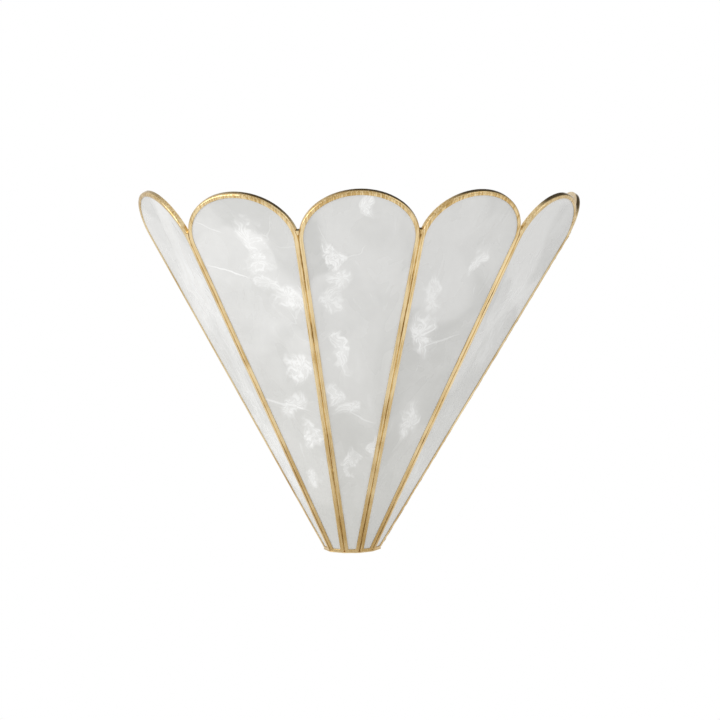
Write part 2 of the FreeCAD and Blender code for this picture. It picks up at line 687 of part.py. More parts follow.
def bulb_stem(side):
    """Glass foot inside the bulb that carries the filaments."""
    bottom = TIP_TOP
    top = CAP_TOP + STEM_HEIGHT
    profile = [(0, bottom), (CAP_BORE, bottom), (CAP_BORE, bottom + STEM_FLANGE),
               (STEM_RADIUS, bottom + STEM_FLANGE + STEM_FLARE),
               (STEM_RADIUS, top - STEM_PINCH), (STEM_RADIUS / 2, top), (0, top)]
    return turned(profile, lamp_axis(side))


def bulb_filaments(side):
    """Upright filament rods between two spider hubs on the stem."""
    axis = lamp_axis(side)
    bottom = CAP_TOP + STEM_HEIGHT
    top = bottom + FILAMENT_HEIGHT
    post = rod(FILAMENT_RADIUS / 2, axis + V(0, 0, bottom), axis + V(0, 0, top))
    cluster = post
    for step in range(FILAMENT_COUNT):
        angle = math.radians(45 + step * 360.0 / FILAMENT_COUNT)
        offset = V(math.cos(angle), math.sin(angle), 0)
        low = axis + offset * FILAMENT_RING + V(0, 0, bottom + 1)
        high = axis + offset * (FILAMENT_RING * 0.6) + V(0, 0, top - 1)
        cluster = cluster.fuse(rod(FILAMENT_RADIUS, low, high))
        cluster = cluster.fuse(rod(FILAMENT_RADIUS / 2, axis + V(0, 0, low.z + 1), low + V(0, 0, 1)))
        cluster = cluster.fuse(rod(FILAMENT_RADIUS / 2, axis + V(0, 0, high.z - 1), high - V(0, 0, 1)))
    return cluster.removeSplitter().Solids[0]


# ---------------------------------------------------------------- wiring

BLOCK_FRONT = PLATE_FRONT - BLOCK_DEPTH
BLOCK_BOTTOM = GROMMET_LIP_RADIUS + BLOCK_GAP
BLOCK_TOP = BLOCK_BOTTOM + BLOCK_HEIGHT
POLE_Y = PLATE_FRONT - BLOCK_DEPTH / 2


def terminal_block():
    """Three-pole block: the supply goes in from above, the lamp leads and earth wire from below."""
    block = box(-BLOCK_WIDTH / 2, BLOCK_WIDTH / 2, BLOCK_FRONT, PLATE_FRONT, BLOCK_BOTTOM, BLOCK_TOP)
    middle = BLOCK_BOTTOM + BLOCK_HEIGHT / 2
    for pole in (-1, 0, 1):
        x = pole * POLE_SPACING
        sunk = V(x, BLOCK_FRONT + TERMINAL_SCREW_DEPTH, middle)
        block = block.cut(rod(TERMINAL_SCREW_RADIUS, sunk, V(x, BLOCK_FRONT - 1, middle)))
        low = V(x, POLE_Y, BLOCK_BOTTOM)
        high = V(x, POLE_Y, BLOCK_TOP)
        low_radius = POLE_HOLE_RADIUS if pole else EARTH_LEAD_RADIUS + WIRE_PLAY
        supply_depth = POLE_HOLE_DEPTH if pole else EARTH_HOLE_DEPTH
        block = block.cut(rod(low_radius, low - V(0, 0, 1), low + V(0, 0, POLE_HOLE_DEPTH)))
        block = block.cut(rod(SUPPLY_HOLE_RADIUS, high + V(0, 0, 1), high - V(0, 0, supply_depth)))
    return block


def terminal_screws():
    """Three grub screws in the front of the block."""
    screws = []
    middle = BLOCK_BOTTOM + BLOCK_HEIGHT / 2
    for pole in (-1, 0, 1):
        end = V(pole * POLE_SPACING, BLOCK_FRONT + TERMINAL_SCREW_DEPTH, middle)
        top = V(end.x, BLOCK_FRONT + TERMINAL_SCREW_SUNK, middle)
        screw = rod(TERMINAL_SCREW_RADIUS, end, top)
        slot = box(end.x - TERMINAL_SCREW_RADIUS, end.x + TERMINAL_SCREW_RADIUS,
                   top.y - 1, top.y + SCREW_SLOT_DEPTH,
                   middle - SCREW_SLOT_WIDTH / 2, middle + SCREW_SLOT_WIDTH / 2)
        screws.append(screw.cut(slot))
    return screws


def earth_barrel_foot():
    """Foot of the crimped barrel, just inside the edge of the ring."""
    return V(EARTH_POINT.x, PLATE_FRONT - EARTH_BARREL_RADIUS, EARTH_HEIGHT + EARTH_TAG_RADIUS - 0.5)


def earth_tag():
    """Ring tag under the earth screw, with a crimped barrel that points up."""
    front = EARTH_POINT - V(0, EARTH_TAG_THICKNESS, 0)
    foot = earth_barrel_foot()
    head = foot + V(0, 0, EARTH_BARREL_LENGTH)
    tag = rod(EARTH_TAG_RADIUS, EARTH_POINT, front).fuse(rod(EARTH_BARREL_RADIUS, foot, head))
    tag = tag.cut(rod(EARTH_LEAD_RADIUS + WIRE_PLAY, head + V(0, 0, 1), foot + V(0, 0, 2)))
    return tag.cut(rod(SCREW_RADIUS, EARTH_POINT + V(0, 1, 0), front - V(0, SCREW_RADIUS, 0)))


def holder_lead(side):
    """Sleeved pair of conductors from a lamp holder back to the terminal block."""
    x = LAMP_SPACING / 2
    exit_bottom = SHELF_TOP - LEAD_EXIT_DROP
    points = [V(x, -LAMP_FORWARD, HOLDER_FLOOR_TOP), V(x, -LAMP_FORWARD, exit_bottom),
              V(x - LEAD_SWING, -LAMP_FORWARD + LEAD_RUN_BACK, exit_bottom - LEAD_SAG),
              V(POLE_SPACING, POLE_Y, BLOCK_BOTTOM - LEAD_RISE),
              V(POLE_SPACING, POLE_Y, BLOCK_BOTTOM + POLE_HOLE_DEPTH - LEAD_END_GAP)]
    points = [V(side * point.x, point.y, point.z) for point in points]
    return tube_through(points, LEAD_RADIUS, "holder lead")


def earth_lead():
    """Earth wire from the middle pole of the block, past the cable hole, down to the ring tag."""
    barrel = earth_barrel_foot() + V(0, 0, EARTH_BARREL_LENGTH)
    points = [V(0, POLE_Y, BLOCK_BOTTOM + POLE_HOLE_DEPTH / 2),
              V(0, POLE_Y, BLOCK_BOTTOM - EARTH_LEAD_EXIT),
              V(barrel.x, POLE_Y + EARTH_LEAD_LEAN, barrel.z + 2 * EARTH_LEAD_DROP),
              barrel + V(0, 0, EARTH_LEAD_DROP),
              barrel - V(0, 0, EARTH_BARREL_LENGTH / 2)]
    return tube_through(points, EARTH_LEAD_RADIUS, "earth lead")


# ---------------------------------------------------------------- assembly

def build():
    """Every node of the light, by name."""
    nodes = {}
    for index in range(PETAL_COUNT):
        nodes["stone_panel_%d" % (index + 1)] = [stone_panel(index)]
        nodes["panel_frame_%d" % (index + 1)] = [panel_frame(index)]
    for rib in range(1, PETAL_COUNT):
        nodes["solder_run_%d" % rib] = [solder_run(rib)]
        nodes["valley_filler_%d" % rib] = [valley_filler(rib)]
    nodes["base_plate"] = [base_plate()]
    nodes["hanger_bar"] = [back_bar(HANGER_BAR_BOTTOM, HANGER_BAR_HEIGHT, HANGER_BAR_BACK,
                                    HANGER_BAR_THICKNESS)]
    nodes["stay_bar"] = [back_bar(STAY_BAR_BOTTOM, STAY_BAR_HEIGHT, -PAD_THICKNESS,
                                  STAY_BAR_THICKNESS)]
    nodes["wall_pads"] = wall_pads()
    nodes["wall_plate"] = [wall_plate()]
    nodes["cable_grommet"] = [cable_grommet()]
    nodes["hanger_hooks"] = [hanger_hook(side) for side in SIDES.values()]
    nodes["lamp_bracket"] = [lamp_bracket()]
    bracket_points, hook_points = screw_points()
    nodes["bracket_screws"] = plate_screws(bracket_points, BRACKET_THICKNESS)
    nodes["hook_screws"] = plate_screws(hook_points, HOOK_THICKNESS)
    nodes["earth_screw"] = plate_screws([EARTH_POINT], EARTH_TAG_THICKNESS)
    nodes["earth_tag"] = [earth_tag()]
    nodes["terminal_block"] = [terminal_block()]
    nodes["terminal_screws"] = terminal_screws()
    nodes["earth_lead"] = [earth_lead()]
    for name, side in SIDES.items():
        nodes["holder_body_" + name] = [holder_body(side)]
        nodes["holder_socket_" + name] = [holder_socket(side)]
        nodes["holder_contact_" + name] = [holder_contact(side)]
        nodes["holder_nipple_" + name] = [holder_nipple(side)]
        nodes["holder_nut_" + name] = [holder_nut(side)]
        nodes["holder_lead_" + name] = [holder_lead(side)]
        nodes["bulb_cap_" + name] = [bulb_cap(side)]
        nodes["bulb_tip_" + name] = [bulb_tip(side)]
        nodes["bulb_glass_" + name] = [bulb_glass(side)]
        nodes["bulb_stem_" + name] = [bulb_stem(side)]
        nodes["bulb_filaments_" + name] = [bulb_filaments(side)]
    return nodes


os.makedirs("parts", exist_ok=True)
for node_name, node_solids in build().items():
    save(node_name, node_solids)
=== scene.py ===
import json
import math
from collections import namedtuple
import bmesh
import bpy
from bpy.props import FloatProperty, FloatVectorProperty, IntProperty, PointerProperty
from mathutils import Matrix, Vector

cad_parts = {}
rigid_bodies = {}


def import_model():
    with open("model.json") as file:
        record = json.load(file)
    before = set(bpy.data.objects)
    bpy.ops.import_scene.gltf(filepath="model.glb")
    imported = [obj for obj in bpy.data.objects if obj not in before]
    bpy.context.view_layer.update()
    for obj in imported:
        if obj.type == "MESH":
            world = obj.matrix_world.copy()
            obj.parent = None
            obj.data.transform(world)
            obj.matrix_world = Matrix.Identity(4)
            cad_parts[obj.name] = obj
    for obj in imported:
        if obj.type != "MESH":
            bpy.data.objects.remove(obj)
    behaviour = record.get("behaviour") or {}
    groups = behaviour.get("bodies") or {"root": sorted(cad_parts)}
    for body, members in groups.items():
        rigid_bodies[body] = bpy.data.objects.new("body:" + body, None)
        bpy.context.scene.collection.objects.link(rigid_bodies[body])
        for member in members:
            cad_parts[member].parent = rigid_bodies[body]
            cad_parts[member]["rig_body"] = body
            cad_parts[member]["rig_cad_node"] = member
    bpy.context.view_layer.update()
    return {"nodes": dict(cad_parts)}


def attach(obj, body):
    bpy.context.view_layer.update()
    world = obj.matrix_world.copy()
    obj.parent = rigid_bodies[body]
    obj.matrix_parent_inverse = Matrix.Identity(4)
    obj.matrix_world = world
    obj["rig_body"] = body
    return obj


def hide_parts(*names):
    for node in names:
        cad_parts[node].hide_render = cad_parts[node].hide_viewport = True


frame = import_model()

bl_info = {
    "name": "Shell wall light",
    "version": (1, 0, 0),
    "blender": (4, 5, 0),
    "location": "3D View > Sidebar > Shell Light",
    "description": "Dresses a half-round stone and brass wall light in its finishes",
    "category": "Add Mesh",
}

# All lengths are in metres. Origin: on the wall, midway between the two fixing slots.
# +X is right as seen from the room, -Y points into the room, +Z is up.
MM = 0.001
NODES = frame["nodes"]
PETAL_COUNT = 6
SIDES = ("left", "right")

MERGE = 1e-6                            # points nearer than this are one point
FLAT_ANGLE = math.radians(0.5)          # faces that meet at less than this are one flat face
GENTLE_EDGE = math.radians(35)          # edges up to this are shaded smooth
SHARP_EDGE = math.radians(40)           # edges over this are broken

SOLDER_ROUND = 0.6 * MM                 # broken edges that differ from the sheet metal's
WEB_ROUND = 0.2 * MM
SCREW_ROUND = 0.2 * MM
BUSH_ROUND = 0.5 * MM
CUP_ROUND = 0.4 * MM
HOUSING_ROUND = 0.3 * MM

SEAM_SIDES = 8                          # flats round a brazed line
SEAM_BEADS = 250                        # cuts along it
SEAM_BEAD_LENGTH = 2.2 * MM
SEAM_BEAD_RISE = 1.3                    # swing of its surface, as a share of its radius
SEAM_BEAD_MIDDLE = 0.55                 # grey level of the clouds that leaves its surface in place
SEAM_GENTLE_EDGE = math.radians(70)
SEAM_END_INSET = 2 * MM                 # a brazed line starts this far above the base
SEAM_TOP_INSET = 6 * MM                 # and ends this far below the valley


# ---------------------------------------------------------------- sizes and colours

class PetalSizes(bpy.types.PropertyGroup):
    """The six petals: all their edge lines start from one apex below the base."""
    wall_lean: FloatProperty(name="Wall rib lean", description="Lean of the two edges on the wall",
                             default=math.radians(29.0), subtype="ANGLE")
    shoulder_lean: FloatProperty(name="Shoulder rib lean", description="Lean of the next two ribs",
                                 default=math.radians(30.7), subtype="ANGLE")
    quarter_lean: FloatProperty(name="Quarter rib lean", description="Lean of the ribs beside the front",
                                default=math.radians(29.8), subtype="ANGLE")
    front_lean: FloatProperty(name="Front rib lean", description="Lean of the middle rib",
                              default=math.radians(29.5), subtype="ANGLE")
    rib_slant: FloatProperty(name="Rib slant", description="Apex to the valleys between the lobes",
                             default=394 * MM, unit="LENGTH")
    apex_height: FloatProperty(name="Apex height", description="Height of the apex, below the slots",
                               default=-222.5 * MM, unit="LENGTH")
    base_above_apex: FloatProperty(name="Base above apex", description="Apex to the foot of the frames",
                                   default=47.5 * MM, unit="LENGTH")
    lobe_rise: FloatProperty(name="Lobe rise", description="Top of a lobe above its two valleys",
                             default=33.8 * MM, unit="LENGTH")


class StoneFinish(bpy.types.PropertyGroup):
    """The milky quartz of the petals."""
    shade: FloatVectorProperty(name="Shade", description="Quiet grey-white of the stone",
                               default=(0.655, 0.655, 0.640), subtype="COLOR")
    light: FloatVectorProperty(name="Light", description="Milky parts of the stone",
                               default=(0.795, 0.793, 0.780), subtype="COLOR")
    bright: FloatVectorProperty(name="Bright", description="Feathery bright clouds",
                                default=(0.99, 0.99, 0.98), subtype="COLOR")
    # Painted shade: the stone is drawn greyer and warmer towards the small end.
    foot: FloatVectorProperty(name="Foot", description="Greyer, warmer tone near the small end",
                              default=(0.655, 0.650, 0.615), subtype="COLOR")


class BrassFinish(bpy.types.PropertyGroup):
    """The polished brass of the frames."""
    pale: FloatVectorProperty(name="Pale", description="Colour of the polished faces",
                              default=(0.87, 0.69, 0.40), subtype="COLOR")
    # Also the colour of the painted dark reflection on the arches.
    deep: FloatVectorProperty(name="Deep", description="Colour where the polish is thinner",
                              default=(0.58, 0.38, 0.14), subtype="COLOR")
    # Painted shade: the brazed lines are the braze's own colour, darkened to the orange-brown of the
    # shadowed rib grooves.
    seam: FloatVectorProperty(name="Seam", description="Colour of the brazed lines",
                              default=(0.70, 0.45, 0.15), subtype="COLOR")
    # Painted shade: the darkest brown of the groove's shadow, mixed along the brazed lines.
    seam_painted_shade: FloatVectorProperty(name="Seam shade", description="Where a brazed line is burnt",
                                    default=(0.20, 0.10, 0.02), subtype="COLOR")
    seam_radius: FloatProperty(name="Seam radius", description="Brazed line in the groove of a rib",
                               default=0.65 * MM, unit="LENGTH")
    seam_depth: FloatProperty(name="Seam depth", description="Frame face to the middle of that line",
                              default=0.95 * MM, unit="LENGTH")


class HardwareSizes(bpy.types.PropertyGroup):
    """Edges of the pressed and turned pieces."""
    edge_round: FloatProperty(name="Edge round", description="Broken edge on sheet metal",
                              default=0.25 * MM, unit="LENGTH")
    edge_steps: IntProperty(name="Edge steps", description="Facets across a broken edge", default=2)


class StudioSizes(bpy.types.PropertyGroup):
    """Camera, lights and floor."""
    camera_yaw: FloatProperty(name="Camera yaw", description="Camera's turn to the left of the light",
                              default=math.radians(17.55), subtype="ANGLE")
    camera_pitch: FloatProperty(name="Camera pitch", description="Camera's look below the horizon",
                                default=math.radians(5.06), subtype="ANGLE")
    camera_distance: FloatProperty(name="Camera distance", description="Camera to the light's axis",
                                   default=1576.1 * MM, unit="LENGTH")
    camera_aside: FloatProperty(name="Camera aside", description="Camera's offset to its right",
                                default=8.3 * MM, unit="LENGTH")
    camera_height: FloatProperty(name="Camera height", description="Camera above the fixing slots",
                                 default=137.2 * MM, unit="LENGTH")
    camera_lens: FloatProperty(name="Camera lens", description="Focal length in millimetres",
                               default=86.49)
    floor_height: FloatProperty(name="Floor height", description="Floor, below the fixing slots",
                                default=-0.62, unit="LENGTH")
    floor_radius: FloatProperty(name="Floor radius", description="Radius of the round floor",
                                default=1.3, unit="LENGTH")
    key_power: FloatProperty(name="Key power", description="Large soft lamp at the left",
                             default=9.0, unit="POWER")
    fill_power: FloatProperty(name="Fill power", description="Soft lamp at the right front",
                              default=1.5, unit="POWER")
    room_level: FloatProperty(name="Room level", description="Even light from all round",
                              default=0.85)


SETTINGS = {
    "shell_petals": PetalSizes,
    "shell_stone": StoneFinish,
    "shell_brass": BrassFinish,
    "shell_hardware": HardwareSizes,
    "shell_studio": StudioSizes,
}


def settings(group):
    """One of the groups of sizes and colours, as the scene holds it."""
    return getattr(bpy.context.scene, group)


# ---------------------------------------------------------------- places of the petals

def rib_direction(index):
    """Unit vector from the apex along a rib; rib 0 is on the wall at the left."""
    petals = settings("shell_petals")
    leans = (petals.wall_lean, petals.shoulder_lean, petals.quarter_lean, petals.front_lean,
             petals.quarter_lean, petals.shoulder_lean, petals.wall_lean)
    azimuth = math.radians(-90 + index * 180.0 / PETAL_COUNT)
    lean = leans[index]
    return Vector((math.sin(lean) * math.sin(azimuth), -math.sin(lean) * math.cos(azimuth),
                   math.cos(lean)))


def petal_axes(index):
    """Across, up and outward directions of a petal, and half its apex angle."""
    left = rib_direction(index)
    right = rib_direction(index + 1)
    across = (right - left).normalized()
    up = (right + left).normalized()
    return across, up, across.cross(up), left.angle(right) / 2


def petal_matrix(index):
    """From a petal drawn flat at the origin, across = X, up = Y, outward = Z, to its place."""
    across, up, outward, _ = petal_axes(index)
    turn = Matrix((across, up, outward)).transposed().to_4x4()
    return Matrix.Translation((0, 0, settings("shell_petals").apex_height)) @ turn


def rib_point(rib, slant, depth):
    """A point on a rib, some way from the apex and some way behind the face of the frames."""
    left_out = petal_axes(rib - 1)[2]
    right_out = petal_axes(rib)[2]
    outward = (left_out + right_out).normalized()
    apex = Vector((0, 0, settings("shell_petals").apex_height))
    return apex + rib_direction(rib) * slant - outward * (depth / outward.dot(left_out))


# ---------------------------------------------------------------- mesh helpers

def deselect_all():
    """Nothing selected, in object mode."""
    if bpy.context.mode != "OBJECT":
        bpy.ops.object.mode_set(mode="OBJECT")
    for obj in bpy.context.view_layer.objects:
        obj.select_set(False)


def only(obj):
    """Select one object alone and make it the active one."""
    deselect_all()
    obj.select_set(True)
    bpy.context.view_layer.objects.active = obj


def edit(obj):
    """Open one object in edit mode with all of it selected."""
    only(obj)
    bpy.ops.object.mode_set(mode="EDIT")
    bpy.ops.mesh.select_all(action="SELECT")


def done():
    """Back to object mode."""
    bpy.ops.object.mode_set(mode="OBJECT")


def pick(kind, test):
    """In edit mode, select the points, edges or faces that pass a test, and nothing else."""
    bpy.ops.mesh.select_mode(type=kind)
    bpy.ops.mesh.select_all(action="DESELECT")
    mesh = bmesh.from_edit_mesh(bpy.context.edit_object.data)
    parts = {"VERT": mesh.verts, "EDGE": mesh.edges, "FACE": mesh.faces}[kind]
    for part in parts:
        if test(part):
            part.select_set(True)
    mesh.select_flush_mode()
    bmesh.update_edit_mesh(bpy.context.edit_object.data)


def apply_modifier(obj, kind, **values):
    """Add one modifier with its values and apply it."""
    only(obj)
    modifier = obj.modifiers.new(kind.lower(), kind)
    for name, value in values.items():
        setattr(modifier, name, value)
    bpy.ops.object.modifier_apply(modifier=modifier.name)


def smooth(obj, angle=GENTLE_EDGE):
    """Smooth shading across gentle edges only."""
    only(obj)
    bpy.ops.object.shade_smooth_by_angle(angle=angle)


def settle(obj):
    """Carry a mesh's place and turn into its points, and leave its object at the origin."""
    only(obj)
    bpy.ops.object.transform_apply(location=True, rotation=True, scale=True)


# ---------------------------------------------------------------- pieces

def finish_piece(obj, name, material, body, slot, *nodes):
    """Name a piece, give it its material and tie it to the frame."""
    obj.name = name
    obj.data.name = name
    obj.data.materials.clear()
    obj.data.materials.append(material)
    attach(obj, body)
    if nodes:
        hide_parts(*nodes)


def node_copy(node):
    """A merged copy of a solid, free of the frame, with flat faces in one piece."""
    source = NODES[node]
    copy = source.copy()
    copy.data = source.data.copy()
    copy.parent = None
    copy.matrix_world = Matrix.Identity(4)
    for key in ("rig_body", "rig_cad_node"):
        del copy[key]
    bpy.context.scene.collection.objects.link(copy)
    edit(copy)
    bpy.ops.mesh.customdata_custom_splitnormals_clear()
    bpy.ops.mesh.remove_doubles(threshold=MERGE)
    bpy.ops.mesh.dissolve_limited(angle_limit=FLAT_ANGLE)
    done()
    return copy


def dressed_copy(node, name, material, body, slot, width=None):
    """A solid with its sharp edges broken, in place of the plain one."""
    sizes = settings("shell_hardware")
    copy = node_copy(node)
    apply_modifier(copy, "BEVEL", width=width or sizes.edge_round, segments=sizes.edge_steps,
                   limit_method="ANGLE", angle_limit=SHARP_EDGE, use_clamp_overlap=True)
    smooth(copy)
    # Large faces lead the shading, so they look flat right up to their roundings.
    apply_modifier(copy, "WEIGHTED_NORMAL", keep_sharp=True)
    finish_piece(copy, name, material, body, slot, node)


def repaint(node, material):
    """Give a carried-over solid its finish."""
    for slot in NODES[node].material_slots:
        slot.material = material


def is_along(edge, direction):
    """Whether an edge runs along a direction, to within about 25 degrees."""
    run = (edge.verts[1].co - edge.verts[0].co).normalized()
    return abs(run.dot(direction)) > 0.9


def rib_seam(rib, radius, depth):
    """A beaded brazed line in the groove of a rib, from the base to where the lobes part."""
    petals = settings("shell_petals")
    along = rib_direction(rib)
    foot = petals.base_above_apex / along.z + SEAM_END_INSET
    top = petals.rib_slant - SEAM_TOP_INSET
    deselect_all()
    bpy.ops.mesh.primitive_circle_add(vertices=SEAM_SIDES, radius=radius, fill_type="NGON",
                                      location=rib_point(rib, foot, depth),
                                      rotation=along.to_track_quat("Z", "Y").to_euler())
    seam = bpy.context.object
    edit(seam)
    bpy.ops.mesh.extrude_region_move(TRANSFORM_OT_translate={"value": along * (top - foot)})
    done()
    settle(seam)
    edit(seam)
    pick("EDGE", lambda edge: is_along(edge, along))
    bpy.ops.mesh.subdivide(number_cuts=SEAM_BEADS)
    bpy.ops.mesh.select_all(action="SELECT")
    bpy.ops.mesh.normals_make_consistent(inside=False)
    done()
    beads = bpy.data.textures.get("seam_beads") or bpy.data.textures.new("seam_beads", "CLOUDS")
    beads.noise_scale = SEAM_BEAD_LENGTH
    beads.noise_depth = 1
    apply_modifier(seam, "DISPLACE", texture=beads, texture_coords="GLOBAL",
                   strength=radius * SEAM_BEAD_RISE, mid_level=SEAM_BEAD_MIDDLE)
    smooth(seam, SEAM_GENTLE_EDGE)
    return seam


# ---------------------------------------------------------------- node helpers

def add_node(tree, kind, inputs=(), **values):
    """Add a node, set its own fields, and set or link its numbered or named inputs."""
    node = tree.nodes.new(kind)
    for name, value in values.items():
        setattr(node, name, value)
    for key, value in dict(inputs).items():
        if isinstance(value, bpy.types.NodeSocket):
            tree.links.new(value, node.inputs[key])
        else:
            node.inputs[key].default_value = value
    return node


class Board:
    """A material's node board, with short calls for the nodes that the finishes use."""

    def __init__(self, name):
        self.material = bpy.data.materials.new(name)
        self.material.use_nodes = True
        self.tree = self.material.node_tree
        self.shader = self.tree.nodes["Principled BSDF"]

    def add(self, kind, inputs=(), **values):
        """Add one node to this board."""
        return add_node(self.tree, kind, inputs, **values)

    def place(self):
        """Object coordinates: the piece's own place in the frame."""
        return self.add("ShaderNodeTexCoord").outputs["Object"]

    def mapped(self, vector, kind="POINT", location=(0, 0, 0), rotation=(0, 0, 0), scale=(1, 1, 1)):
        """Move, turn and stretch a pattern."""
        inputs = {"Vector": vector, "Location": location, "Rotation": rotation, "Scale": scale}
        return self.add("ShaderNodeMapping", inputs, vector_type=kind).outputs[0]

    def vector(self, x=0.0, y=0.0, z=0.0):
        """A vector from three grey values."""
        return self.add("ShaderNodeCombineXYZ", {0: x, 1: y, 2: z}).outputs[0]

    def shifted(self, vector, shift):
        """A vector with another added to it."""
        return self.add("ShaderNodeVectorMath", {0: vector, 1: shift}).outputs[0]

    def direction(self, vector):
        """The direction of a vector, with length 1."""
        return self.add("ShaderNodeVectorMath", {0: vector}, operation="NORMALIZE").outputs[0]

    def part(self, vector, axis):
        """The X, Y or Z part of a vector."""
        return self.add("ShaderNodeSeparateXYZ", {0: vector}).outputs[axis]

    def noise(self, vector, scale, detail=3.0, roughness=0.5, distortion=0.0):
        """Cloudy grey pattern."""
        inputs = {"Vector": vector, "Scale": scale, "Detail": detail, "Roughness": roughness,
                  "Distortion": distortion}
        return self.add("ShaderNodeTexNoise", inputs).outputs["Fac"]

    def cells(self, vector, scale):
        """Distance to the borders of cracked cells."""
        inputs = {"Vector": vector, "Scale": scale}
        return self.add("ShaderNodeTexVoronoi", inputs, feature="DISTANCE_TO_EDGE").outputs["Distance"]

    def plates(self, vector, scale):
        """A grey level for each cracked cell, running softly into the next."""
        inputs = {"Vector": vector, "Scale": scale, "Smoothness": 0.25}
        node = self.add("ShaderNodeTexVoronoi", inputs, feature="SMOOTH_F1")
        return self.add("ShaderNodeSeparateColor", {0: node.outputs["Color"]}).outputs[0]

    def ball(self, vector):
        """1 at the middle of a unit ball, falling to 0 at its surface."""
        node = self.add("ShaderNodeTexGradient", {"Vector": vector}, gradient_type="SPHERICAL")
        return node.outputs["Fac"]

    def span(self, value, low, high, to_low=0.0, to_high=1.0):
        """Spread a part of a grey pattern smoothly over another range."""
        inputs = {0: value, 1: low, 2: high, 3: to_low, 4: to_high}
        return self.add("ShaderNodeMapRange", inputs, interpolation_type="SMOOTHSTEP").outputs[0]

    def reckon(self, operation, first, second=0.0, clamp=False):
        """One sum on grey values."""
        node = self.add("ShaderNodeMath", {0: first, 1: second}, operation=operation, use_clamp=clamp)
        return node.outputs[0]

    def plus(self, first, second, clamp=False):
        """Two grey values added together."""
        return self.reckon("ADD", first, second, clamp)

    def times(self, first, second):
        """One grey value times another."""
        return self.reckon("MULTIPLY", first, second)

    def most(self, first, second):
        """The greater of two grey values."""
        return self.reckon("MAXIMUM", first, second)

    def weighed(self, *pairs):
        """Grey values added together, each by its share."""
        total = None
        for value, share in pairs:
            part = self.times(value, share)
            total = part if total is None else self.plus(total, part)
        return total

    def mix(self, share, first, second):
        """Blend two colours."""
        inputs = {0: share, 6: first, 7: second}
        return self.add("ShaderNodeMix", inputs, data_type="RGBA").outputs[2]

    def bump(self, height, strength, distance, under=None):
        """Fine relief, over other relief where that is given."""
        inputs = {"Height": height, "Strength": strength, "Distance": distance}
        if under is not None:
            inputs["Normal"] = under
        return self.add("ShaderNodeBump", inputs).outputs[0]

    def paint(self, **sockets):
        """Set or link the shader's inputs, with _ for spaces in their names."""
        for name, value in sockets.items():
            socket = self.shader.inputs[name.replace("_", " ")]
            if isinstance(value, bpy.types.NodeSocket):
                self.tree.links.new(value, socket)
            else:
                socket.default_value = value
        return self.material


def colour(values):
    """A colour with full cover."""
    return (*values, 1.0)


# ---------------------------------------------------------------- stone

SLAB_STEP = (0.37, 0.53, 0.71)          # from one petal's place in the pattern to the next one's
STONE_CELLS = 16.0                      # cracked cells to a metre
NET_WIDTH = 0.014                       # of the cracks between them, as a share of a cell
STONE_DRIFT = (30 * MM, 50 * MM)        # how far the cells bend, across and up
CLOUD_SWIRL = (6 * MM, 8 * MM)          # how far the clouds are ruffled, across and up
CRACK_SWIRL = 0.3                       # how much of that the single cracks take
WISP_TILT = math.radians(28)
SEED_STEP = 2.3                         # from one cloud's strokes to the next one's

# Clouds of each petal: across and up, as shares of the petal's half width there and of its
# height, then half length and half width in millimetres, the tilt in degrees and the strength.
CLOUDS = (
    ((0.20, 0.72, 80, 40, 0, 0.40), (0.10, 0.42, 90, 34, 0, 0.45)),
    ((0.12, 0.90, 20, 14, 10, 0.9), (0.18, 0.84, 16, 16, -20, 1.0), (0.22, 0.785, 14, 15, 0, 0.9),
     (0.56, 0.76, 22, 15, -60, 1.0), (0.80, 0.755, 13, 11, 0, 0.8), (0.50, 0.60, 24, 13, -20, 0.9),
     (0.00, 0.51, 22, 12, -50, 0.7), (0.42, 0.43, 20, 11, 10, 1.0), (0.00, 0.33, 14, 9, 0, 0.7)),
    ((0.10, 0.965, 18, 8, 10, 1.0), (-0.44, 0.855, 18, 9, 25, 1.0), (-0.34, 0.80, 15, 14, -30, 0.9),
     (-0.53, 0.76, 14, 13, 0, 0.7), (-0.40, 0.64, 26, 10, 12, 1.0), (-0.57, 0.53, 14, 9, 0, 0.8),
     (-0.25, 0.50, 16, 9, -50, 0.8), (-0.06, 0.365, 14, 8, 30, 0.7), (-0.30, 0.34, 12, 7, 0, 0.6),
     (0.70, 0.40, 13, 6, 0, 0.7)),
    ((0.30, 0.84, 18, 10, -20, 0.9), (-0.44, 0.77, 22, 10, 20, 0.7), (-0.41, 0.68, 30, 14, 20, 0.9),
     (-0.04, 0.47, 28, 12, 0, 0.7)),
    ((0.00, 0.70, 70, 36, 0, 0.30), (0.20, 0.40, 70, 30, 0, 0.20)),
    ((0.00, 0.60, 50, 16, 0, 0.5), (0.10, 0.85, 30, 12, 0, 0.5)),
)

# Single cracks, in the same way.
CRACKS = (
    ((0.00, 0.60, 30, 0.8, 10, 0.2),),
    ((-0.48, 0.825, 25, 0.9, 68, 0.9), (-0.27, 0.51, 28, 1.6, 74, 0.5), (-0.55, 0.92, 14, 0.8, 60, 0.4)),
    ((0.25, 0.475, 16, 1.0, 66, 0.4),),
    ((0.10, 0.655, 24, 1.2, 110, 0.35),),
    ((0.00, 0.66, 26, 1.0, 20, 0.25),),
    ((0.20, 0.70, 22, 1.0, -30, 0.3),),
)


def feather_cloud(board, flat, centre, size, tilt, seed):
    """One cloud: a soft halo, and short bright strokes that fan out from its middle."""
    local = board.mapped(flat, "TEXTURE", centre, (0, 0, math.radians(tilt)), size)
    ball = board.ball(local)
    halo = board.times(board.span(ball, 0.0, 0.7), 0.50)
    path = board.shifted(board.direction(local), board.vector(x=seed, z=board.times(ball, 1.1)))
    strokes = board.noise(path, scale=3.0, roughness=0.55, distortion=0.1)
    bright = board.times(board.span(ball, 0.04, 0.50), board.span(strokes, 0.38, 0.58))
    return board.most(halo, bright)


def hair_crack(board, flat, centre, size, tilt, seed):
    """One thin pale crack that fades out at both ends. It has no strokes and needs no seed."""
    local = board.mapped(flat, "TEXTURE", centre, (0, 0, math.radians(tilt)), size)
    return board.span(board.ball(local), 0.0, 0.5)


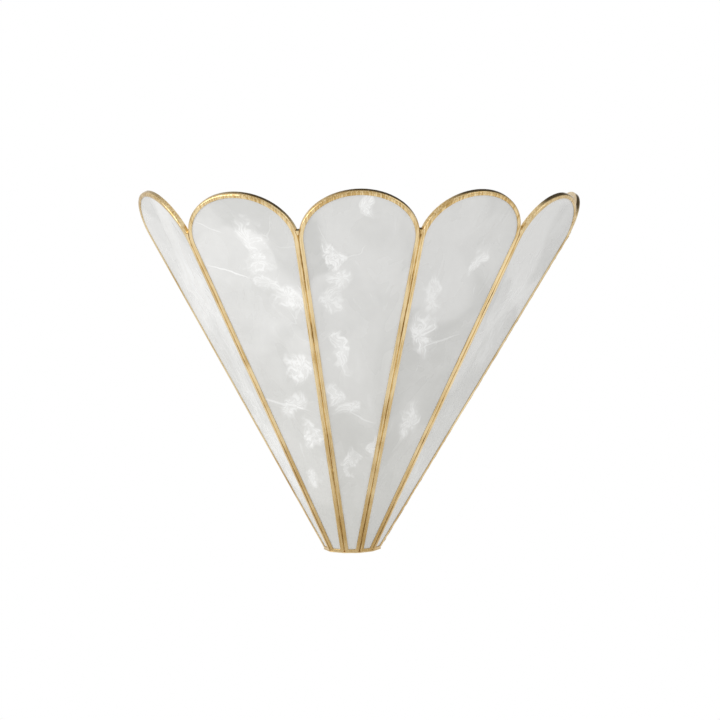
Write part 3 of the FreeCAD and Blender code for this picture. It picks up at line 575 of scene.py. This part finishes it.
def petal_marks(board, flat, index, table, mark):
    """All the clouds or all the cracks of one petal, the strongest at each place."""
    petals = settings("shell_petals")
    height = petals.rib_slant + petals.lobe_rise
    widening = math.tan(petal_axes(index)[3])
    glow = None
    for number, (across, up, length, width, tilt, strength) in enumerate(table[index]):
        level = up * height
        centre = (across * level * widening, level, 0)
        size = (width * MM, length * MM, 1.0)
        seed = SEED_STEP * number + index
        patch = board.times(mark(board, flat, centre, size, tilt, seed), strength)
        glow = patch if glow is None else board.most(glow, patch)
    return glow


def stone_ground(board, flat, bent, broad, haze):
    """The quiet colour: plates and haze between two whites, with painted shade that makes it greyer and
    warmer near the small end.
    """
    finish = settings("shell_stone")
    tone = board.weighed((broad, 0.40), (haze, 0.30), (board.plates(bent, STONE_CELLS), 0.30))
    ground = board.mix(board.span(tone, 0.34, 0.66), colour(finish.shade), colour(finish.light))
    # Painted shade: towards the small end the colour is blended to the darker, warmer foot tone.
    foot_painted_shade = board.span(board.part(flat, "Y"), 60 * MM, 360 * MM, 0.60, 0.0)
    return board.mix(foot_painted_shade, ground, colour(finish.foot))


def stone_clouds(board, index, flat, bent, haze, swirl):
    """How bright the clouds are, with thin wisps between them."""
    clouds = petal_marks(board, board.shifted(flat, swirl), index, CLOUDS, feather_cloud)
    clouds = board.times(clouds, board.span(haze, 0.32, 0.50, 0.55, 1.0))
    drawn_out = board.mapped(bent, rotation=(0, 0, WISP_TILT), scale=(1.0, 0.30, 1.0))
    strokes = board.noise(drawn_out, scale=90.0, distortion=0.8)
    wisps = board.times(board.span(haze, 0.54, 0.78, 0.0, 0.22), board.span(strokes, 0.42, 0.66))
    return board.plus(clouds, wisps, clamp=True)


def stone_cracks(board, index, flat, bent, broad, swirl):
    """How clear the cracks are: a faint net of them, and the petal's single ones."""
    net = board.span(board.cells(bent, STONE_CELLS), 0.0, NET_WIDTH, 1.0, 0.0)
    net = board.times(net, board.span(broad, 0.54, 0.64, 0.0, 0.25))
    slight = board.add("ShaderNodeVectorMath", {0: swirl, "Scale": CRACK_SWIRL}, operation="SCALE")
    nearly_flat = board.shifted(flat, slight.outputs[0])
    return board.most(net, petal_marks(board, nearly_flat, index, CRACKS, hair_crack))


def stone_material(index):
    """Milky quartz: quiet plates of tone, feathery bright clouds, faint cracks, a polished face."""
    bright = colour(settings("shell_stone").bright)
    board = Board("stone_%d" % (index + 1))
    matrix = petal_matrix(index)
    flat = board.mapped(board.place(), "TEXTURE", matrix.translation, matrix.to_euler())
    seeded = board.mapped(flat, location=[step * index for step in SLAB_STEP])
    broad = board.noise(seeded, scale=11.0, detail=4.0, roughness=0.55, distortion=0.6)
    haze = board.noise(board.mapped(seeded, scale=(1.0, 0.6, 1.0)), scale=34.0, distortion=0.7)
    stray = board.noise(seeded, scale=55.0, detail=2.0)
    across, up = STONE_DRIFT
    bent = board.shifted(seeded, board.vector(board.times(haze, across), board.times(broad, up)))
    across, up = CLOUD_SWIRL
    swirl = board.vector(board.span(stray, 0.2, 0.8, -across, across), board.span(haze, 0.2, 0.8, -up, up))

    base = stone_ground(board, flat, bent, broad, haze)
    base = board.mix(stone_clouds(board, index, flat, bent, haze, swirl), base, bright)
    cracks = stone_cracks(board, index, flat, bent, broad, swirl)
    base = board.mix(cracks, base, bright)
    rough = board.plus(board.span(haze, 0.3, 0.7, 0.20, 0.34), board.times(cracks, 0.3))
    relief = board.bump(board.noise(seeded, scale=18.0, detail=1.0, roughness=0.3), 0.10, 1.0 * MM)
    return board.paint(Base_Color=base, Roughness=rough, Normal=relief, Specular_IOR_Level=0.5, IOR=1.54)


# ---------------------------------------------------------------- brass and other finishes

STREAKS_ROUND = 420.0                   # streaks to a radian, seen from the apex
STREAKS_ALONG = 32.0                    # and to a metre along a rib
BAR_STREAKS = (60, 2600, 2600)          # streaks to a metre of a bar, along X, Y and Z
DARK_FOOT = (60 * MM, 250 * MM)         # from the apex: darkest up to the first, plain from the second
PAINTED_ARCH_REFLECTION = (390 * MM, 420 * MM)      # from the apex: plain up to the first, darkest from the second; a painted dark reflection on the arches
# Dark brown of tarnished brass, which also paints the dark reflection on the arches.
BROWN_TARNISH_AND_REFLECTION = (0.36, 0.21, 0.06)
EARTH_GREEN = (0.05, 0.26, 0.06)
EARTH_YELLOW = (0.72, 0.60, 0.05)
SLEEVE_STRIPES = 2.4 * MM               # from one yellow stripe to the next
GLASS_TONE = (0.985, 0.985, 0.975)

# Dark and light colour, share of metal, low and high roughness, size of the pattern as grains to
# a metre, strength and depth of the relief, and the stretch of the pattern along X, Y and Z.
Finish = namedtuple("Finish", "dark light metallic rough scale relief depth stretch",
                    defaults=((1, 1, 1),))

FINISHES = {
    "plated_steel": Finish((0.60, 0.61, 0.62), (0.64, 0.65, 0.66), metallic=1.0, rough=(0.30, 0.36),
                           scale=1800.0, relief=0.10, depth=0.02 * MM, stretch=(1, 1, 0.6)),
    "screw_steel": Finish((0.46, 0.47, 0.48), (0.70, 0.71, 0.72), metallic=1.0, rough=(0.20, 0.36),
                          scale=420.0, relief=0.25, depth=0.05 * MM),
    "terminal_brass": Finish((0.62, 0.44, 0.20), (0.80, 0.62, 0.32), metallic=1.0, rough=(0.22, 0.40),
                             scale=380.0, relief=0.25, depth=0.05 * MM),
    "cap_metal": Finish((0.62, 0.61, 0.58), (0.80, 0.79, 0.76), metallic=1.0, rough=(0.20, 0.38),
                        scale=520.0, relief=0.20, depth=0.04 * MM, stretch=(1, 1, 0.2)),
    "solder": Finish((0.45, 0.41, 0.34), (0.64, 0.60, 0.52), metallic=1.0, rough=(0.28, 0.50),
                     scale=240.0, relief=0.45, depth=0.12 * MM),
    "felt": Finish((0.055, 0.055, 0.06), (0.12, 0.12, 0.125), metallic=0.0, rough=(0.85, 1.0),
                   scale=1500.0, relief=0.9, depth=0.25 * MM),
    "grommet_rubber": Finish((0.022, 0.022, 0.023), (0.045, 0.045, 0.046), metallic=0.0,
                             rough=(0.50, 0.72), scale=700.0, relief=0.35, depth=0.06 * MM),
    "terminal_plastic": Finish((0.72, 0.71, 0.67), (0.80, 0.79, 0.76), metallic=0.0,
                               rough=(0.38, 0.52), scale=500.0, relief=0.25, depth=0.05 * MM),
    "lead_sleeve": Finish((0.70, 0.68, 0.62), (0.84, 0.82, 0.76), metallic=0.0, rough=(0.65, 0.85),
                          scale=900.0, relief=0.7, depth=0.15 * MM),
    "holder_ceramic": Finish((0.78, 0.76, 0.71), (0.86, 0.85, 0.81), metallic=0.0, rough=(0.14, 0.30),
                             scale=160.0, relief=0.18, depth=0.08 * MM),
    "cap_insulator": Finish((0.015, 0.013, 0.02), (0.035, 0.03, 0.045), metallic=0.0,
                            rough=(0.10, 0.25), scale=400.0, relief=0.2, depth=0.05 * MM),
    "filament": Finish((0.78, 0.50, 0.12), (0.90, 0.66, 0.22), metallic=0.0, rough=(0.40, 0.60),
                       scale=900.0, relief=0.5, depth=0.08 * MM, stretch=(1, 1, 0.3)),
}


def brass_streaks(board, place, outward, distance, crosswise):
    """Coordinates for streaks along the ribs, or along X for the bars across the back."""
    if crosswise:
        return board.mapped(place, scale=BAR_STREAKS)
    round_apex = board.mapped(board.direction(outward), scale=(STREAKS_ROUND,) * 3)
    return board.shifted(round_apex, board.vector(z=board.times(distance, STREAKS_ALONG)))


def brass_material(name, pale, deep, rough_low=0.07, rough_high=0.22, wobble=0.25, crosswise=False):
    """Hand-polished brass: streaks, a darker foot, tarnished patches, a painted dark reflection towards
    the arches and fine scratches.
    """
    board = Board(name)
    place = board.place()
    apex = (0, 0, settings("shell_petals").apex_height)
    outward = board.add("ShaderNodeVectorMath", {0: place, 1: apex}, operation="SUBTRACT").outputs[0]
    distance = board.add("ShaderNodeVectorMath", {0: outward}, operation="LENGTH").outputs["Value"]
    streaks = brass_streaks(board, place, outward, distance, crosswise)
    drawn = board.noise(streaks, scale=1.0, roughness=0.6)
    scratch = board.noise(streaks, scale=9.0, detail=2.0)
    slow = board.noise(place, scale=40.0, distortion=0.3)
    tone = board.weighed((slow, 0.30), (drawn, 0.70))
    tone = board.reckon("SUBTRACT", tone, board.span(distance, *DARK_FOOT, 0.11, 0.0))
    # Painted reflection: the tone drops towards the arches, so the brass is drawn darker and browner
    # there.
    tone = board.reckon("SUBTRACT", tone, board.span(distance, *PAINTED_ARCH_REFLECTION, 0.0, 0.06))
    base = board.mix(board.span(tone, 0.36, 0.54), colour(deep), colour(pale))
    # Tarnished patches where the tone is low, also carrying the painted reflection on the arches.
    tarnish_and_reflection = board.span(tone, 0.28, 0.40, 0.5, 0.0)
    base = board.mix(tarnish_and_reflection, base, colour(BROWN_TARNISH_AND_REFLECTION))
    rough = board.plus(board.span(slow, 0.3, 0.7, rough_high, rough_low), board.times(tarnish_and_reflection, 0.20))
    waves = board.bump(board.noise(place, scale=150.0, detail=2.0), wobble, 0.6 * MM)
    relief = board.bump(board.plus(drawn, board.times(scratch, 0.3)), 0.12, 0.1 * MM, waves)
    return board.paint(Base_Color=base, Metallic=1.0, Roughness=rough, Normal=relief)


def sleeve_material(name):
    """Smooth earth-wire sleeve: yellow stripes on green."""
    board = Board(name)
    place = board.place()
    turns = board.times(board.part(place, "X"), 2.0 * math.pi / SLEEVE_STRIPES)
    stripes = board.span(board.reckon("SINE", turns), -0.08, 0.08)
    base = board.mix(stripes, colour(EARTH_GREEN), colour(EARTH_YELLOW))
    fine = board.noise(place, scale=700.0)
    relief = board.bump(fine, 0.2, 0.04 * MM)
    return board.paint(Base_Color=base, Roughness=board.span(fine, 0.3, 0.7, 0.32, 0.48), Normal=relief)


def plain_material(name):
    """One of the other finishes: two tones, uneven gloss and its own fine relief."""
    finish = FINISHES[name]
    board = Board(name)
    place = board.mapped(board.place(), scale=finish.stretch)
    slow = board.noise(place, scale=finish.scale * 0.15, detail=4.0, roughness=0.55, distortion=0.4)
    fine = board.noise(place, scale=finish.scale, detail=5.0, roughness=0.6)
    tone = board.weighed((slow, 0.6), (fine, 0.4))
    base = board.mix(board.span(tone, 0.38, 0.62), colour(finish.dark), colour(finish.light))
    rough = board.span(tone, 0.35, 0.65, *finish.rough)
    relief = board.bump(fine, finish.relief, finish.depth)
    return board.paint(Base_Color=base, Metallic=finish.metallic, Roughness=rough, Normal=relief)


def glass_material(name):
    """Clear blown glass with a faint warm tone and slow waves."""
    board = Board(name)
    place = board.place()
    relief = board.bump(board.noise(place, scale=60.0, detail=2.0), 0.15, 0.6 * MM)
    rough = board.span(board.noise(place, scale=300.0), 0.3, 0.7, 0.0, 0.03)
    return board.paint(Base_Color=colour(GLASS_TONE), Roughness=rough, Normal=relief,
                       Transmission_Weight=1.0, IOR=1.46)


def made_material(name):
    """The finish of that name, made the first time it is asked for."""
    material = bpy.data.materials.get("shell_" + name)
    if material is None:
        brass = settings("shell_brass")
        if name == "frame_brass":
            material = brass_material(name, brass.pale, brass.deep)
        elif name == "bar_brass":
            between = [(pale + deep) / 2 for pale, deep in zip(brass.pale, brass.deep)]
            material = brass_material(name, brass.pale, between, 0.10, 0.26, crosswise=True)
        elif name == "seam_brass":
            # The brazed lines blend from their own colour to painted groove shade.
            material = brass_material(name, brass.seam, brass.seam_painted_shade, 0.18, 0.36, wobble=0.5)
        elif name == "earth_sleeve":
            material = sleeve_material(name)
        elif name == "bulb_glass":
            material = glass_material(name)
        else:
            material = plain_material(name)
        material.name = "shell_" + name
    return material


# ---------------------------------------------------------------- studio

WHITE = (1.0, 1.0, 1.0, 1.0)
LOOK_AT = Vector((0.0, -0.09, 0.0))     # the middle of the light, where both lamps point
KEY_PLACE = (-1.8, -0.35, 0.25)
KEY_SIDE = 1.3
FILL_PLACE = (1.2, -1.4, 0.9)
FILL_SIDE = 1.0
FLOOR_SIDES = 96
FLOOR_DARK = (0.80, 0.80, 0.79)
FLOOR_LIGHT = (0.84, 0.84, 0.83)
FLOOR_FADE = (0.35, 0.85)               # way in from the rim: white up to the first, then greyer
DARK_CORNER = (0.50, 0.45, 0.74)        # metal reflects a dark ceiling corner in this direction
CORNER_FADE = (0.62, 0.92)              # cosine of the angle from there: full light up to the
CORNER_LEVEL = 0.10                     # first, and from the second this share of it
MIRROR_TONE = (0.8, 0.8, 0.8, 1.0)      # what metal reflects elsewhere
SENSOR_WIDTH = 36.0                     # in millimetres, as cameras have it


def studio_floor(sizes):
    """A round pale floor that fades to white towards its rim and keeps the shadow."""
    deselect_all()
    bpy.ops.mesh.primitive_circle_add(vertices=FLOOR_SIDES, radius=sizes.floor_radius,
                                      fill_type="NGON", location=(0, 0, sizes.floor_height))
    floor = bpy.context.object
    floor.name = "studio_floor"
    board = Board("floor")
    place = board.mapped(board.place(), "TEXTURE", (0, 0, sizes.floor_height), (0, 0, 0),
                         (sizes.floor_radius, sizes.floor_radius, 1.0))
    grain = board.noise(board.place(), scale=40.0)
    board.paint(Base_Color=board.mix(grain, colour(FLOOR_DARK), colour(FLOOR_LIGHT)), Roughness=0.8)
    white = board.add("ShaderNodeEmission", {"Color": WHITE, "Strength": 1.0})
    share = board.span(board.ball(place), *FLOOR_FADE, 1.0, 0.0)
    path = board.add("ShaderNodeLightPath").outputs
    seen = board.most(path["Is Camera Ray"], path["Is Glossy Ray"])
    seen = board.most(seen, path["Is Transmission Ray"])
    mixed = board.add("ShaderNodeMixShader", {0: board.times(share, seen),
                                              1: board.shader.outputs[0], 2: white.outputs[0]})
    board.tree.links.new(mixed.outputs[0], board.tree.nodes["Material Output"].inputs[0])
    floor.data.materials.append(board.material)
    settle(floor)


def studio_world(sizes):
    """White where it is seen or looked through, a dark corner for metal to mirror, soft light."""
    world = bpy.data.worlds.new("studio")
    bpy.context.scene.world = world
    world.use_nodes = True
    tree = world.node_tree
    tree.nodes.clear()
    path = add_node(tree, "ShaderNodeLightPath").outputs
    even = add_node(tree, "ShaderNodeBackground", {0: WHITE, 1: sizes.room_level})
    seen = add_node(tree, "ShaderNodeBackground", {0: WHITE, 1: 1.0})
    direction = add_node(tree, "ShaderNodeTexCoord").outputs["Generated"]
    facing = add_node(tree, "ShaderNodeVectorMath", {0: direction, 1: DARK_CORNER},
                      operation="DOT_PRODUCT").outputs["Value"]
    level = add_node(tree, "ShaderNodeMapRange", {0: facing, 1: CORNER_FADE[0], 2: CORNER_FADE[1],
                                                  3: 1.0, 4: CORNER_LEVEL})
    mirror = add_node(tree, "ShaderNodeBackground", {0: MIRROR_TONE, 1: level.outputs[0]})
    lit = add_node(tree, "ShaderNodeMixShader", {0: path["Is Glossy Ray"], 1: even.outputs[0],
                                                 2: mirror.outputs[0]})
    through = add_node(tree, "ShaderNodeMath", {0: path["Is Camera Ray"],
                                                1: path["Is Transmission Ray"]}, operation="MAXIMUM")
    last = add_node(tree, "ShaderNodeMixShader", {0: through.outputs[0], 1: lit.outputs[0],
                                                  2: seen.outputs[0]})
    add_node(tree, "ShaderNodeOutputWorld", {0: last.outputs[0]})


def soft_lamp(name, location, side, power):
    """A square soft lamp that points at the light."""
    deselect_all()
    bpy.ops.object.light_add(type="AREA", location=location)
    lamp = bpy.context.object
    lamp.name = name
    lamp.data.shape = "SQUARE"
    lamp.data.size = side
    lamp.data.energy = power
    lamp.rotation_euler = (LOOK_AT - Vector(location)).to_track_quat("-Z", "Y").to_euler()


def studio_lamps(sizes):
    """A large lamp at the left and a weak one at the right front."""
    soft_lamp("key_lamp", KEY_PLACE, KEY_SIDE, sizes.key_power)
    soft_lamp("fill_lamp", FILL_PLACE, FILL_SIDE, sizes.fill_power)


def studio_camera(sizes):
    """Camera at the photograph's viewing angle."""
    deselect_all()
    yaw = sizes.camera_yaw
    back = Vector((-math.sin(yaw), -math.cos(yaw), 0))
    right = Vector((math.cos(yaw), -math.sin(yaw), 0))
    location = back * sizes.camera_distance + right * sizes.camera_aside
    location.z = sizes.camera_height
    bpy.ops.object.camera_add(location=location,
                              rotation=(math.pi / 2 - sizes.camera_pitch, 0, -yaw))
    camera = bpy.context.object
    camera.name = "camera"
    camera.data.sensor_width = SENSOR_WIDTH
    camera.data.lens = sizes.camera_lens
    bpy.context.scene.camera = camera


# ---------------------------------------------------------------- operators

class StonePetals(bpy.types.Operator):
    """Give each stone petal its own clouds and cracks"""
    bl_idname = "shell.stone_petals"
    bl_label = "Stone petals"

    def execute(self, context):
        for index in range(PETAL_COUNT):
            repaint("stone_panel_%d" % (index + 1), stone_material(index))
        return {"FINISHED"}


class PetalFrames(bpy.types.Operator):
    """Polish the brass frame of each petal"""
    bl_idname = "shell.petal_frames"
    bl_label = "Petal frames"

    def execute(self, context):
        for index in range(PETAL_COUNT):
            repaint("panel_frame_%d" % (index + 1), made_material("frame_brass"))
        return {"FINISHED"}


class RibSeams(bpy.types.Operator):
    """Run a beaded brazed line along the groove of each rib, and solder behind it"""
    bl_idname = "shell.rib_seams"
    bl_label = "Rib seams"

    def execute(self, context):
        brass = settings("shell_brass")
        for rib in range(1, PETAL_COUNT):
            seam = rib_seam(rib, brass.seam_radius, brass.seam_depth)
            finish_piece(seam, "rib_seam_%d" % rib, made_material("seam_brass"), "shade", "frame_brass")
            dressed_copy("solder_run_%d" % rib, "rib_solder_%d" % rib, made_material("solder"),
                         "shade", "solder", SOLDER_ROUND)
        return {"FINISHED"}


class ValleyWebs(bpy.types.Operator):
    """Round the small webs where two lobes part"""
    bl_idname = "shell.valley_webs"
    bl_label = "Valley webs"

    def execute(self, context):
        for rib in range(1, PETAL_COUNT):
            dressed_copy("valley_filler_%d" % rib, "valley_web_%d" % rib, made_material("frame_brass"),
                         "shade", "frame_brass", WEB_ROUND)
        return {"FINISHED"}


class BaseAndBars(bpy.types.Operator):
    """Break the edges of the base plate and the two bars across the back"""
    bl_idname = "shell.base_and_bars"
    bl_label = "Base and bars"

    def execute(self, context):
        for node, name in (("base_plate", "foot_plate"), ("hanger_bar", "upper_bar"),
                           ("stay_bar", "lower_bar")):
            dressed_copy(node, name, made_material("bar_brass"), "shade", "frame_brass")
        repaint("wall_pads", made_material("felt"))
        return {"FINISHED"}


class WallHardware(bpy.types.Operator):
    """Finish the wall plate, its bush, hooks, bracket and screws"""
    bl_idname = "shell.wall_hardware"
    bl_label = "Wall hardware"

    def execute(self, context):
        for node in ("wall_plate", "hanger_hooks", "lamp_bracket"):
            dressed_copy(node, node + "_finished", made_material("plated_steel"), "wall_side",
                         "plated_steel")
        for node in ("bracket_screws", "hook_screws", "earth_screw"):
            dressed_copy(node, node + "_finished", made_material("screw_steel"), "wall_side",
                         "screw_steel", SCREW_ROUND)
        dressed_copy("cable_grommet", "cable_bush", made_material("grommet_rubber"), "wall_side",
                     "grommet_rubber", BUSH_ROUND)
        return {"FINISHED"}


class LampHolders(bpy.types.Operator):
    """Finish the two ceramic lamp holders"""
    bl_idname = "shell.lamp_holders"
    bl_label = "Lamp holders"

    def execute(self, context):
        for side in SIDES:
            dressed_copy("holder_body_" + side, "holder_cup_" + side, made_material("holder_ceramic"),
                         "wall_side", "holder_ceramic", CUP_ROUND)
            for part in ("socket", "contact", "nipple", "nut"):
                repaint("holder_%s_%s" % (part, side), made_material("terminal_brass"))
        return {"FINISHED"}


class CandleLamps(bpy.types.Operator):
    """Finish the two candle lamps"""
    bl_idname = "shell.candle_lamps"
    bl_label = "Candle lamps"

    def execute(self, context):
        finishes = {"cap": "cap_metal", "tip": "cap_insulator", "glass": "bulb_glass",
                    "stem": "bulb_glass", "filaments": "filament"}
        for side in SIDES:
            for part, finish in finishes.items():
                repaint("bulb_%s_%s" % (part, side), made_material(finish))
        return {"FINISHED"}


class Wiring(bpy.types.Operator):
    """Finish the terminal block, its screws, the leads and the earth tag"""
    bl_idname = "shell.wiring"
    bl_label = "Wiring"

    def execute(self, context):
        dressed_copy("terminal_block", "terminal_housing", made_material("terminal_plastic"),
                     "wall_side", "terminal_plastic", HOUSING_ROUND)
        repaint("terminal_screws", made_material("terminal_brass"))
        repaint("earth_tag", made_material("terminal_brass"))
        repaint("earth_lead", made_material("earth_sleeve"))
        for side in SIDES:
            repaint("holder_lead_" + side, made_material("lead_sleeve"))
        return {"FINISHED"}


class Studio(bpy.types.Operator):
    """Set the floor, the white surround, the lamps and the camera"""
    bl_idname = "shell.studio"
    bl_label = "Studio"

    def execute(self, context):
        sizes = settings("shell_studio")
        studio_floor(sizes)
        studio_world(sizes)
        studio_lamps(sizes)
        studio_camera(sizes)
        context.scene.view_settings.view_transform = "Standard"
        return {"FINISHED"}


# ---------------------------------------------------------------- panel and start

OPERATORS = (StonePetals, PetalFrames, RibSeams, ValleyWebs, BaseAndBars, WallHardware,
             LampHolders, CandleLamps, Wiring, Studio)


class ShellPanel(bpy.types.Panel):
    """The pieces of the wall light, with their sizes and colours"""
    bl_idname = "VIEW3D_PT_shell_light"
    bl_label = "Shell wall light"
    bl_space_type = "VIEW_3D"
    bl_region_type = "UI"
    bl_category = "Shell Light"

    def draw(self, context):
        """A button for each operator, then the sizes and colours."""
        for operator in OPERATORS:
            self.layout.operator(operator.bl_idname)
        for group, kind in SETTINGS.items():
            column = self.layout.box().column()
            for name in kind.__annotations__:
                column.prop(getattr(context.scene, group), name)


def register():
    """Add the groups of sizes, the operators and the panel."""
    for kind in SETTINGS.values():
        bpy.utils.register_class(kind)
    for group, kind in SETTINGS.items():
        setattr(bpy.types.Scene, group, PointerProperty(type=kind))
    for operator in OPERATORS:
        bpy.utils.register_class(operator)
    bpy.utils.register_class(ShellPanel)


def unregister():
    """Take them away again."""
    bpy.utils.unregister_class(ShellPanel)
    for operator in reversed(OPERATORS):
        bpy.utils.unregister_class(operator)
    for group in SETTINGS:
        delattr(bpy.types.Scene, group)
    for kind in reversed(list(SETTINGS.values())):
        bpy.utils.unregister_class(kind)


def main():
    """Make every piece."""
    register()
    deselect_all()
    bpy.ops.shell.stone_petals()
    bpy.ops.shell.petal_frames()
    bpy.ops.shell.rib_seams()
    bpy.ops.shell.valley_webs()
    bpy.ops.shell.base_and_bars()
    bpy.ops.shell.wall_hardware()
    bpy.ops.shell.lamp_holders()
    bpy.ops.shell.candle_lamps()
    bpy.ops.shell.wiring()
    bpy.ops.shell.studio()


if __name__ == "__main__":
    main()
